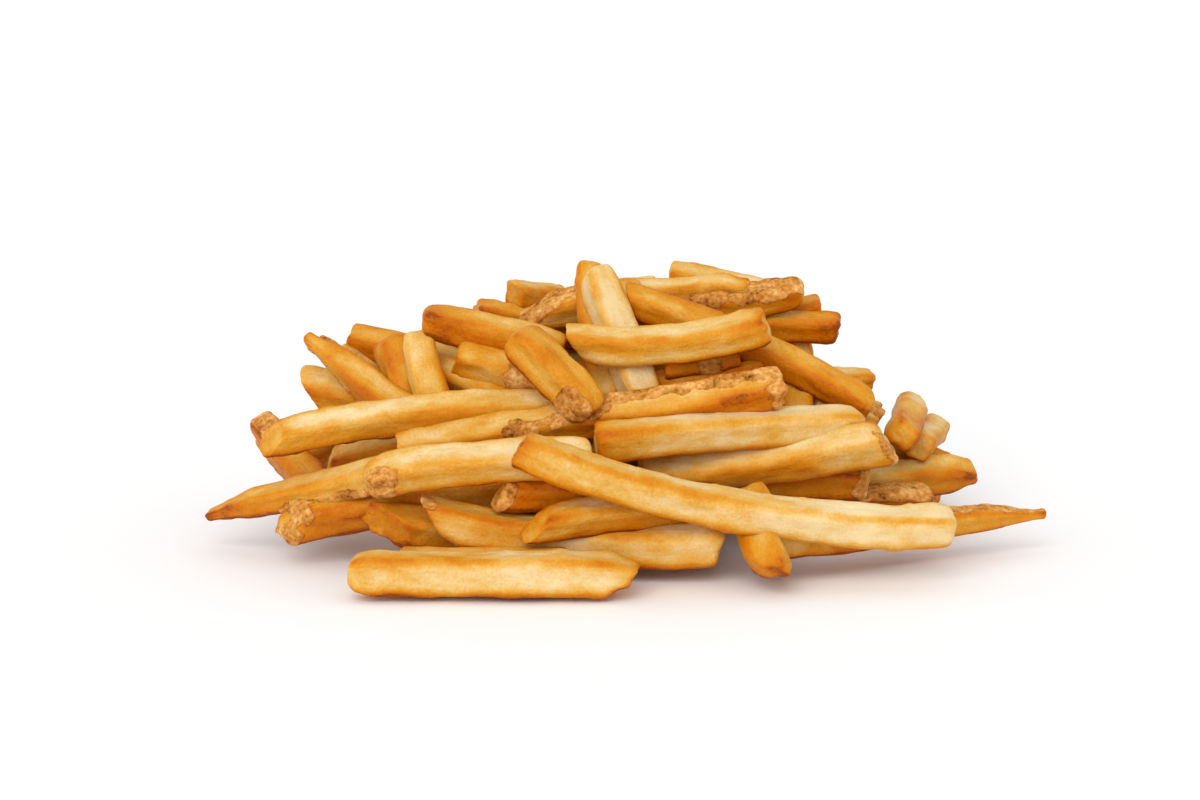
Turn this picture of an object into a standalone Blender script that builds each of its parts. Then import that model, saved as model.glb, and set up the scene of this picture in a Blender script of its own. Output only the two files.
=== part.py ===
"""A portion of french fries as it lies in a heap on a flat surface, as one solid out to its uneven outline.

The heap is a low mound with about a hundred whole fries lying in and over it. Forty odd millimetres of
the front are laid out fry by fry. The far side and the deeper layers follow one rule: a fry lies along
the surface of its layer wherever there is room for it.
Every fry is a square stick that tapers or sags a little. The union of them all is cut flat at the table.
+X runs along the heap, -Y is its front, +Z is up. Figures are millimetres until the meshes are made.
"""

import math
from dataclasses import dataclass

import bmesh
import bpy
import numpy as np

MM = 0.001

# The mound inside the heap: half length, depth to the front, depth to the back, height, in mm.
# It lies a little left of the middle, since the fries at the right bridge a hollow.
MOUND = (37.0, 17.0, 34.0, 37.0)
MOUND_AT = (-9.0, 10.0)
MOUND_RINGS = 5
MOUND_SPOKES = 20

# The heap itself, which the filling fries follow: the same figures for its outer surface.
HEAP = (79.0, 58.0, 60.0, 48.0)
HEAP_AT = (0.0, 2.0)

# A fry: its crust stands this far over the cut sides, its bevelled corners take this share of a side,
# and it narrows to this share over the last few millimetres.
CRUST = 0.35
CORNER_SHARE = 0.22
END_INSET = 2.0
END_SHRINK = 0.82

# The filling fries: how deep each layer lies as a share of the heap, and how many it may take.
FRONT_LAYERS = ((0.62, 12), (0.78, 12))
BACK_LAYERS = ((0.64, 16), (0.78, 20), (0.90, 24), (1.0, 30))
TRIES_PER_LAYER = 3000
CLOSEST, TOUCHING = 0.80, 0.87
LENGTH_RANGE = (36.0, 76.0)
SIDE_RANGE = (5.8, 8.2)
EYE_SLOPE = math.tan(math.radians(12.0))
SEED = 12

FRY_COLOUR = (0.74, 0.40, 0.11, 1.0)


@dataclass(frozen=True)
class Fry:
    """One fry: its two ends on the centre line, side there, sag (up is plus), turn about its length.

    A blunt one is cut square at its far end.
    """

    start: tuple
    end: tuple
    side: tuple
    sag: float = 0.0
    turn: float = 15.0
    blunt: bool = False


# The fries at the front and on top, from the nearest to the farthest.
NAMED = {
    "front_low": Fry((-53.5, -54, 5.2), (4.5, -54, 4.5), (7.6, 7.4), 0.4, 2),
    "front_under": Fry((-44, -47, 4), (-10, -46, 4), (7.4, 7.4), 0.0, 6),
    "front_long": Fry((-20, -47, 28.5), (65.5, -44, 12), (6.7, 7.2), -4.4, 12),
    "front_tip": Fry((-21.5, -48, 12), (20, -33, 14), (5.9, 7.0), 0.8, 20),
    "front_sag": Fry((-42, -39, 14), (20.5, -41, 8), (7.2, 7.2), -3, 8),
    "toe": Fry((25.5, -31, 14.5), (29.5, -58, 4.5), (8.4, 7.0), 0.0, 25),
    "right_spike": Fry((27, -40, 7.5), (87, -16, 8), (5.8, 2.4), 0.0, 10),
    "stub_low": Fry((-52, -37, 10.5), (-30, -32, 8.5), (7.2, 7.2), 0.0, 30),
    "mid_dark": Fry((-26, -40, 18.5), (4, -33, 15.5), (6.0, 6.2), 0.0, 20),
    "left_thick": Fry((-50.5, -41, 20.5), (-6, -41, 25), (6.6, 6.8), 1.8, 30),
    "left_skin": Fry((-72, -29, 8.5), (-20, -28, 16), (7.4, 7.2), 0.6, 22),
    "left_spear": Fry((-85, -14, 7), (-44, -36, 21.5), (4.0, 6.2), 0.4, 25),
    "right_pale": Fry((4, -26, 18), (55, -27, 25.5), (6.6, 7.5), -0.8, 35),
    "mid_amber": Fry((-5, -35, 27), (49, -21, 28), (7.0, 6.4), 0.8, 12),
    "knuckle": Fry((-21.5, -22, 46), (-6, -31, 32), (7.2, 7.2), 0.8, 10),
    "skin_back": Fry((-45, -27, 24), (33, -26, 36.5), (5.6, 6.8), 0.0, 40),
    "left_long": Fry((-73.5, -28, 26), (-4, -19, 31), (6.0, 6.4), 1.9, 30),
    "under_dark": Fry((-40, -22, 11), (4, -31, 9), (6.0, 6.0), 0.0, 15),
    "left_under": Fry((-62.5, -12, 17), (-32, -22, 25.5), (5.6, 6.0), 0.0, 30),
    "left_cross": Fry((-76, 8, 21), (-55, -21, 9), (6.0, 6.2), 0.0, 20),
    "right_dark": Fry((15, -21, 17), (51, -19, 15), (6.2, 6.2), 0.0, 15),
    "right_rind": Fry((27, -20, 12), (64, -14, 10), (5.6, 5.6), -0.6, 20),
    "right_up": Fry((58, -16, 24), (61.5, 15, 23.5), (6.0, 5.8), 0.0, 30),
    "right_up2": Fry((62, -6, 19.8), (68, 20, 17.8), (5.4, 5.2), 0.0, 25),
    "right_thick": Fry((45, -10, 13), (74, -1, 13), (6.6, 5.6), 0.2, 25),
    "right_prop": Fry((38, -15, 6), (64.5, 0, 6.5), (7.0, 6.6), 0.0, 20),
    "right_rest": Fry((44, 8, 16.5), (69, 3, 12.5), (6.4, 6.4), 0.0, 30),
    "top_cross": Fry((-12, -19, 44.5), (29.5, -20, 48), (6.1, 6.4), -2.2, 22),
    "top_pillar": Fry((-5, -4, 56.5), (4.5, -19, 32.5), (6.6, 7.0), -0.5, 8),
    "top_sweep": Fry((0, -5, 50.5), (51, -14, 29), (6.0, 5.8), 2.4, 25),
    "short_skin": Fry((9, -17, 39), (24, -14, 41), (4.8, 4.8), 0.0, 10),
    "short_dark": Fry((6, -15, 34), (29, -13, 36.5), (5.0, 5.0), 0.0, 10),
    "pillar_back": Fry((-6.5, 3, 56.5), (-3, -16, 31), (5.6, 6.0), 0.0, 8),
    "plug_amber": Fry((36, -4, 37), (37, -15, 26), (6.6, 6.6), 0.0, 8),
    "pale_chip": Fry((39.5, -10, 29.5), (52, -7, 24.5), (4.6, 4.6), 0.0, 15),
    "rind_chip": Fry((45, -3, 28), (54, -3, 25), (5.4, 5.2), 0.0, 15),
    "left_stub": Fry((-33.5, -9, 39), (-12, -18, 35), (6.0, 6.2), 0.0, 25),
    "left_amber": Fry((-40.5, -7, 47), (-12, -8, 40), (6.4, 6.4), 0.2, 20),
    "top_skin": Fry((-22, 1, 47), (5, 5, 49), (6.8, 6.6), -0.3, 25),
    "left_pillar": Fry((-42, -5, 43), (-38, -19, 30), (5.8, 6.4), 0.0, 10),
    "skin_wedge": Fry((-65, -3, 42.5), (-41, -15, 25.5), (3.8, 7.4), 0.0, 35),
    "left_curl": Fry((-48, -2, 42), (-43, -9, 29), (7.0, 7.0), 0.0, 10),
    "left_slide": Fry((-40, -4, 36), (-16, -17, 30), (5.6, 5.6), 0.0, 30),
    "left_slide2": Fry((-31, -3, 34), (-10, -14, 31), (5.6, 5.6), 0.0, 20),
    "left_pale": Fry((-67, 1, 30.5), (-38, -4, 27), (7.4, 7.2), 0.0, 25),
    "skin_wedge2": Fry((-63, 6, 40), (-40, 3, 23), (3.2, 6.0), 0.0, 30),
    "left_wall": Fry((-60, 9, 36), (-42, 9, 24), (5.8, 6.2), 0.0, 10),
    "left_top": Fry((-57, 13, 38.5), (-28, 1, 34), (5.6, 5.8), 0.4, 25),
    "top_light": Fry((0, 12, 48.5), (26.5, 1, 52), (5.4, 4.2), 0.0, 25),
    "top_rind": Fry((15, 3, 47), (38, 1, 51), (5.6, 5.4), 0.0, 25),
    "right_amber": Fry((2, 5, 43.5), (46, 2, 43), (5.4, 4.8), 0.0, 25),
    "right_light": Fry((20, 9, 42), (42, 8, 46), (5.6, 5.2), 0.0, 20),
    "right_nub": Fry((37, -2, 32), (53, 8, 31), (5.2, 4.2), 0.0, 15),
    "right_post": Fry((36, 9, 42), (39, 1, 29), (5.2, 5.2), 0.0, 10),
    "left_nub": Fry((-34, 8, 37), (-8, 18, 34), (4.6, 6.0), 0.0, 15),
    "top_stub": Fry((-23.5, 6, 49.5), (-12, 20, 45.5), (5.4, 5.4), 0.0, 15),
    "top_stub2": Fry((-30, 7, 45.5), (-4, 10, 41), (5.0, 5.4), 0.0, 15),
    "top_stub3": Fry((-31, 9, 44), (0, 18, 37), (5.0, 5.4), 0.0, 15),
    "top_end": Fry((-14, 20, 44.5), (8, 15, 49.5), (5.0, 4.6), 0.0, 15),
    "top_back": Fry((10.5, 11.5, 52.5), (37.5, 13, 47), (5.2, 4.4), 0.0, 20),
    "inner_left": Fry((-30, 4, 12), (-22, -34, 6), (7.0, 7.0), 0.0, 10),
    "inner_right": Fry((20, 6, 14), (16, -35, 9), (6.6, 6.6), 0.0, 10),
}


def clear_scene():
    """Removes whatever objects the session started with."""
    for obj in list(bpy.data.objects):
        bpy.data.objects.remove(obj)


def dome(x, y, size, centre):
    """Height of a rounded dome over (x, y): steep at its rim and flat on top, 0 outside it."""
    half_length, front, back, height = size
    depth = np.where(y < centre[1], front, back)
    rho = ((x - centre[0]) / half_length) ** 2 + ((y - centre[1]) / depth) ** 2
    return height * np.clip(1.0 - rho, 0.0, None) ** 0.6


def centre_line(fry, share):
    """Points of the fry's centre line at shares 0 to 1 of its length, with the sag as a parabola."""
    start = np.array(fry.start, float)
    end = np.array(fry.end, float)
    share = np.asarray(share, float)[:, None]
    sag = np.array([0.0, 0.0, 4.0 * fry.sag]) * share * (1.0 - share)
    return start + (end - start) * share + sag


def front_outline(fries):
    """For each millimetre of x, the lowest and highest that the fries reach as seen from the front."""
    low, high = np.full(201, 99.0), np.zeros(201)
    share = np.linspace(0.0, 1.0, 90)
    for fry in fries:
        line = centre_line(fry, share)
        side = np.interp(share, (0.0, 1.0), fry.side)
        column = np.clip(np.rint(line[:, 0] + 100).astype(int), 0, 200)
        seen = line[:, 2] + EYE_SLOPE * line[:, 1]
        np.minimum.at(low, column, seen - 0.5 * side)
        np.maximum.at(high, column, seen + 0.4 * side)
    return low, high


def shows(line, side, outline):
    """Whether a fry along this centre line would show above or below that outline."""
    column = np.clip(np.rint(line[:, 0] + 100).astype(int), 0, 200)
    seen = line[:, 2] + EYE_SLOPE * line[:, 1]
    above = seen + 0.5 * side > outline[1][column] - 0.5
    below = seen - 0.5 * side < outline[0][column]
    return bool((above | below).any())


def fits(line, side, lines, sides):
    """Whether a fry along this line is clear of those laid before it, but touches one or the mound."""
    gaps = np.linalg.norm(lines[:, :, None] - line[None, None], axis=3).min(axis=(1, 2))
    nearest = (gaps / (0.5 * (side + sides))).min()
    in_mound = bool((line[:, 2] < dome(line[:, 0], line[:, 1], MOUND, MOUND_AT) - 0.5).any())
    return nearest > CLOSEST and (nearest < TOUCHING or in_mound)


def chord(rng, share, front, late):
    """A fry laid along the dome of this share of the heap: a chord with both ends on its surface.

    The later it comes (0 to 1), the shorter it is, since only short gaps are left.
    """
    half_length, depth_front, depth_back, height = HEAP
    size = (half_length - 6.0 * (1.0 - share), depth_front, depth_back, height * share)
    side = rng.uniform(*SIDE_RANGE)
    half = 0.5 * rng.uniform(*LENGTH_RANGE) * (1.0 - 0.4 * late)
    heading = rng.uniform(0.0, math.pi)
    x = rng.uniform(-0.86, 0.86) * half_length
    y = rng.uniform(-0.62, 0.0) * depth_front if front else rng.uniform(-0.08, 0.94) * depth_back
    ends = []
    for way in (-1.0, 1.0):
        end_x = HEAP_AT[0] + x + way * half * math.cos(heading)
        end_y = HEAP_AT[1] + y + way * half * math.sin(heading)
        end_z = float(dome(end_x, end_y, size, HEAP_AT)) - 0.5 * side
        ends.append((end_x, end_y, max(end_z, 0.5 * side)))
    turn = rng.uniform(0.0, 45.0)
    taper = rng.uniform(0.82, 1.0)
    return Fry(ends[0], ends[1], (side, side * taper), 0.0, turn, True)


def inside_heap(fry, front):
    """Whether both ends stay within the heap's outline on the table, the front ones well inside it."""
    half_length, depth_front, depth_back, _ = HEAP
    for x, y, _ in (fry.start, fry.end):
        depth = depth_back if y > HEAP_AT[1] else depth_front * (0.62 if front else 0.4)
        reach = half_length * (0.8 if front else 0.96)
        if (x / reach) ** 2 + ((y - HEAP_AT[1]) / depth) ** 2 > 1.0:
            return False
    return abs(fry.start[2] - fry.end[2]) < 34.0


def filling_fries(rng, named):
    """Fries in and behind the named ones, layer by layer, each in the first free place that is found."""
    share = np.linspace(0.0, 1.0, 25)
    lines = np.array([centre_line(fry, share) for fry in named])
    sides = np.array([sum(fry.side) / 2 for fry in named])
    outline = front_outline(named)
    found = []
    layers = [(deep, most, True) for deep, most in FRONT_LAYERS]
    layers += [(deep, most, False) for deep, most in BACK_LAYERS]
    for deep, most, front in layers:
        laid = 0
        for attempt in range(TRIES_PER_LAYER):
            fry = chord(rng, deep, front, attempt / TRIES_PER_LAYER)
            if laid == most:
                break
            if not inside_heap(fry, front):
                continue
            line = centre_line(fry, share)
            side = fry.side[0]
            if shows(line, side, outline) or not fits(line, side, lines, sides):
                continue
            lines = np.concatenate([lines, line[None]])
            sides = np.append(sides, side)
            found.append(fry)
            laid += 1
    return found


def fry_frame(fry, share):
    """Centre points, the two directions across the fry, and its side, at each share of its length."""
    centre = centre_line(fry, share)
    along = np.gradient(centre, np.asarray(share, float), axis=0)
    along /= np.linalg.norm(along, axis=1)[:, None]
    across = np.cross(along, (0.0, 0.0, 1.0))
    across /= np.linalg.norm(across, axis=1)[:, None]
    if across[0, 1] > 0.0:
        across = -across
    over = np.cross(across, along)
    if over[0, 2] < 0.0:
        over = -over
    turn = math.radians(fry.turn)
    side_way = across * math.cos(turn) - over * math.sin(turn)
    top_way = across * math.sin(turn) + over * math.cos(turn)
    return centre, side_way, top_way, np.interp(share, (0.0, 1.0), fry.side) + 2.0 * CRUST


def section(corner):
    """A square of side 1 with bevelled corners, as eight points round it."""
    half = 0.5
    near = half - corner
    return np.array(
        [
            (half, near),
            (near, half),
            (-near, half),
            (-half, near),
            (-half, -near),
            (-near, -half),
            (near, -half),
            (half, -near),
        ]
    )


def fry_mesh(fry):
    """Points and faces of one fry: a section swept along the centre line, narrower at both cut ends."""
    length = math.dist(fry.start, fry.end)
    inset = min(END_INSET / length, 0.3)
    bends = [0.5] if abs(fry.sag) > 0.5 else []
    share = np.array([0.0, inset, *bends, 1.0 - inset, 1.0])
    grow = np.array([END_SHRINK, *np.ones(len(share) - 2), END_SHRINK])
    if fry.blunt:
        share, grow = np.delete(share, -2), np.append(grow[:-2], 1.0)
    outline = section(CORNER_SHARE)
    centre, side_way, top_way, side = fry_frame(fry, share)
    scale = (side * grow)[:, None, None]
    points = (
        centre[:, None, :]
        + scale * outline[None, :, 0, None] * side_way[:, None, :]
        + scale * outline[None, :, 1, None] * top_way[:, None, :]
    )
    rings, count = points.shape[:2]
    faces = [tuple(range(count)), tuple(range((rings - 1) * count, rings * count))]
    for ring in range(rings - 1):
        for k in range(count):
            a = ring * count + k
            b = ring * count + (k + 1) % count
            faces.append((a, b, b + count, a + count))
    return points.reshape(-1, 3), faces


def mound_mesh():
    """The mound inside the heap, from 4 mm under the table, so that the cut at the table is clean."""
    spokes = np.linspace(0.0, 2.0 * math.pi, MOUND_SPOKES, endpoint=False)
    points = []
    for ring in range(MOUND_RINGS + 1):
        reach = math.sin(0.5 * math.pi * (ring + 1) / (MOUND_RINGS + 1))
        x = MOUND_AT[0] + MOUND[0] * reach * np.cos(spokes)
        depth = np.where(np.sin(spokes) < 0.0, MOUND[1], MOUND[2])
        y = MOUND_AT[1] + depth * reach * np.sin(spokes)
        z = dome(x, y, MOUND, MOUND_AT)
        points.extend(np.stack([x, y, z], axis=1).tolist())
    points.extend([(p[0], p[1], -4.0) for p in points[-MOUND_SPOKES:]])
    rings = MOUND_RINGS + 2
    faces = [
        tuple(range(MOUND_SPOKES)),
        tuple(range((rings - 1) * MOUND_SPOKES, rings * MOUND_SPOKES)),
    ]
    for ring in range(rings - 1):
        for k in range(MOUND_SPOKES):
            a = ring * MOUND_SPOKES + k
            b = ring * MOUND_SPOKES + (k + 1) % MOUND_SPOKES
            faces.append((a, b, b + MOUND_SPOKES, a + MOUND_SPOKES))
    return np.array(points), faces


def new_object(name, pieces):
    """One object from closed pieces in mm, each turned to face outward."""
    mesh = bpy.data.meshes.new(name)
    build = bmesh.new()
    for points, faces in pieces:
        verts = [build.verts.new(p) for p in np.asarray(points) * MM]
        for face in faces:
            build.faces.new([verts[k] for k in face])
    bmesh.ops.recalc_face_normals(build, faces=build.faces[:])
    bmesh.ops.triangulate(build, faces=build.faces[:])
    build.to_mesh(mesh)
    build.free()
    obj = bpy.data.objects.new(name, mesh)
    bpy.context.scene.collection.objects.link(obj)
    return obj


def apply_boolean(obj, other, operation, self_overlap):
    """Joins or cuts obj with other by the exact solver, and removes other."""
    modifier = obj.modifiers.new(operation.lower(), "BOOLEAN")
    modifier.operation = operation
    modifier.solver = "EXACT"
    modifier.use_self = self_overlap
    modifier.object = other
    graph = bpy.context.evaluated_depsgraph_get()
    joined = bpy.data.meshes.new_from_object(obj.evaluated_get(graph))
    obj.modifiers.clear()
    obj.data = joined
    bpy.data.objects.remove(other)


def table_slab():
    """A slab with its top at the table, larger than the heap, that cuts off what lies below."""
    low, high = np.array([-120.0, -100.0, -30.0]), np.array([120.0, 100.0, 0.0])
    points = [
        [(low, high)[i][0], (low, high)[j][1], (low, high)[k][2]]
        for i in (0, 1)
        for j in (0, 1)
        for k in (0, 1)
    ]
    faces = [(0, 1, 3, 2), (4, 6, 7, 5), (0, 4, 5, 1), (2, 3, 7, 6), (0, 2, 6, 4), (1, 5, 7, 3)]
    slab = new_object("table_slab", [(points, faces)])
    slab.hide_render = True
    slab.display_type = "WIRE"
    return slab


def islands(build):
    """The separate shells of a mesh, as lists of vertices."""
    waiting = set(build.verts)
    found = []
    while waiting:
        shell = [waiting.pop()]
        for vert in shell:
            for edge in vert.link_edges:
                other = edge.other_vert(vert)
                if other in waiting:
                    waiting.discard(other)
                    shell.append(other)
        found.append(shell)
    return found


def keep_outer_shell(obj):
    """Drops the small closed voids between fries, so that the heap is solid inside."""
    build = bmesh.new()
    build.from_mesh(obj.data)
    shells = sorted(islands(build), key=len)
    for shell in shells[:-1]:
        bmesh.ops.delete(build, geom=shell, context="VERTS")
    bmesh.ops.triangulate(build, faces=build.faces[:])
    build.to_mesh(obj.data)
    build.free()


def fry_material():
    """Fried potato: golden, dry and slightly rough."""
    material = bpy.data.materials.new("fried_potato")
    material.use_nodes = True
    shader = material.node_tree.nodes["Principled BSDF"]
    shader.inputs["Base Color"].default_value = FRY_COLOUR
    shader.inputs["Roughness"].default_value = 0.6
    return material


def main():
    """Builds the heap as one object, fries_heap."""
    clear_scene()
    rng = np.random.default_rng(SEED)
    named = list(NAMED.values())
    filling = filling_fries(rng, named)
    sticks = [fry_mesh(fry) for fry in named + filling]
    heap = new_object("fries_heap", sticks)
    apply_boolean(heap, new_object("mound", [mound_mesh()]), "UNION", True)
    apply_boolean(heap, table_slab(), "DIFFERENCE", False)
    keep_outer_shell(heap)
    heap.data.materials.clear()
    heap.data.materials.append(fry_material())
    heap.data.shade_flat()


main()
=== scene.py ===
"""Looks of a portion of french fries that lies in a loose heap on a bare surface.

Every fry is a surface of its own: a rounded square section carried along a gently bent line, with its own
cut ends, patches of potato rind, blisters, and edges browned partly by frying and partly by painted shade;
its lower sides are coloured more amber as painted shade. The fries at the front and on top are laid out one
by one, those in and behind them by one rule, and a bed of short fries covers a small core, dark brown as
painted shade, that closes the middle of the heap. Lengths are in millimetres until a mesh is made, and +X
runs along the heap, -Y is its front and +Z is up.
"""

import logging
import math
from dataclasses import dataclass
from enum import Enum

import bpy
import numpy as np
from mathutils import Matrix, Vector

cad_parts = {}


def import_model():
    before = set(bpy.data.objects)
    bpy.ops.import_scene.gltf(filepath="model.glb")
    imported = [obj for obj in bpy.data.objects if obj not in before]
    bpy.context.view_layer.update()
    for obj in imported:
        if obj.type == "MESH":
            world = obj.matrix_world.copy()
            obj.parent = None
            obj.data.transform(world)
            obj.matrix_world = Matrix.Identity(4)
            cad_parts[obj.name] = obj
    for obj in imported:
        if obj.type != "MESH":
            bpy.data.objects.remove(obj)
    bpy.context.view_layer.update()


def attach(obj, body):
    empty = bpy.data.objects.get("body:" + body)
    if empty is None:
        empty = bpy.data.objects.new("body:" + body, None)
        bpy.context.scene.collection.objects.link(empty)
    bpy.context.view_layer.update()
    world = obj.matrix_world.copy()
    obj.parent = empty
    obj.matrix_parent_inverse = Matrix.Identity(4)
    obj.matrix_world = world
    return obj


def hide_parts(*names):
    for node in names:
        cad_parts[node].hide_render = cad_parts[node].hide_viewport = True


LOG = logging.getLogger("fries")

MM = 0.001
HEAP_NODE = "fries_heap"

# The mound inside the heap and the heap's own outer surface: half length, depth to the front, depth to the
# back, height, and the middle of each on the table.
MOUND = (37.0, 17.0, 34.0, 37.0)
MOUND_AT = (-9.0, 10.0)
HEAP = (79.0, 58.0, 60.0, 48.0)
HEAP_AT = (0.0, 2.0)
CORE_SHARE = 0.80

# Crust on the cut sides, and the filling fries' layers, spacing and ranges.
CRUST = 0.35
FRONT_LAYERS = ((0.62, 12), (0.78, 12))
BACK_LAYERS = ((0.64, 16), (0.78, 20), (0.90, 24), (1.0, 30))
TRIES_PER_LAYER = 3000
CLOSEST, TOUCHING = 0.80, 0.87
LENGTH_RANGE = (36.0, 76.0)
SIDE_RANGE = (5.8, 8.2)
EYE_SLOPE = math.tan(math.radians(12.0))
SEED = 12

Array = np.ndarray


@dataclass(frozen=True)
class End:
    """How one end of a fry is cut and fried.

    Attributes:
        tilt: How far the cut leans out at its upper edge, in mm per mm of height; minus leans out below.
        lean: The same towards the front side.
        width: Share of the fry's width left at the tip.
        height: Share of its height left at the tip.
        reach: Length over which it narrows, in mm.
        soft: Rounding of the cut's edge, as a share of the side.
        rough: Depth of the crumpled crust at the end, in mm.
        brown: How dark the end is fried, 0 to 1.
    """

    tilt: float = 0.0
    lean: float = 0.0
    width: float = 0.94
    height: float = 0.94
    reach: float = 4.0
    soft: float = 0.14
    rough: float = 0.18
    brown: float = 0.45


class Cut(Enum):
    """The kinds of end that hand-cut fries have."""

    SQUARE = End()
    PALE = End(width=0.90, height=0.88, soft=0.20, rough=0.12, brown=0.12)
    ROUND = End(width=0.86, height=0.84, reach=5.0, soft=0.30, brown=0.40)
    UP = End(tilt=0.65, brown=0.40)
    DOWN = End(tilt=-0.6, brown=0.45)
    TOP_TIP = End(tilt=1.1, height=0.90, soft=0.12, brown=0.55)
    LOW_TIP = End(tilt=-1.25, height=0.86, soft=0.12, brown=0.55)
    POINT = End(width=0.55, height=0.40, reach=14.0, soft=0.22, brown=0.60)
    SPEAR = End(width=0.40, height=0.24, reach=20.0, soft=0.20, brown=0.65)
    BLUNT = End(lean=-0.8, width=0.80, height=0.70, reach=7.0, soft=0.24, brown=0.45)
    NOSE = End(tilt=0.5, height=0.50, reach=8.0, soft=0.16, brown=0.50)
    LOW_SLANT = End(tilt=-0.85, soft=0.12, brown=0.45)
    TIPPED = End(tilt=-0.3, rough=0.30, brown=0.80)
    WEDGE = End(width=0.80, height=0.42, reach=6.0, soft=0.18, rough=0.30, brown=0.50)
    SLICE = End(tilt=-0.80, lean=-0.50, soft=0.16, rough=0.40, brown=0.60)
    FACE = End(lean=-1.25, soft=0.16, rough=0.70, brown=1.0)
    RAGGED = End(tilt=0.2, soft=0.20, rough=0.60, brown=0.75)
    CHARRED = End(soft=0.14, rough=0.50, brown=1.0)


class Face(Enum):
    """Where a patch of rind lies round a fry, as the angle of its middle in degrees."""

    FRONT = 0.0
    EDGE = 45.0
    TOP = 90.0
    CREST = 115.0
    REAR = 180.0
    UNDER = 270.0
    LOW_EDGE = 315.0


@dataclass(frozen=True)
class Rind:
    """A patch of potato rind left on a fry.

    Attributes:
        face: The side that it lies on.
        start: Where it begins, as a share of the length.
        end: Where it ends.
        half_width: Half its width round the fry, in degrees.
        drift: How far it winds round the fry from its start to its end, in degrees.
    """

    face: Face
    start: float = 0.0
    end: float = 1.0
    half_width: float = 42.0
    drift: float = 0.0


@dataclass(frozen=True)
class Fry:
    """One fry.

    Attributes:
        start: One end of its centre line, in mm.
        end: The other end.
        side: Side of the section at the start and at the end.
        sag: Height of its bow, up is plus.
        turn: Turn of the section about its length, in degrees.
        tone: How far its start and its end are fried, from 0, pale, to 1, dark amber.
        cuts: How its two ends are cut.
        rind: Patches of rind.
        bow: Sideways bow towards the front.
        taper: Power that the side changes by along the fry: 1 is even.
        underside_shade: How strongly painted shade colours its lower sides more amber than its top, 1 being usual.
    """

    start: tuple[float, float, float]
    end: tuple[float, float, float]
    side: tuple[float, float]
    sag: float = 0.0
    turn: float = 15.0
    tone: tuple[float, float] = (0.4, 0.4)
    cuts: tuple[Cut, Cut] = (Cut.SQUARE, Cut.SQUARE)
    rind: tuple[Rind, ...] = ()
    bow: float = 0.0
    taper: float = 1.0
    underside_shade: float = 1.0


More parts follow.
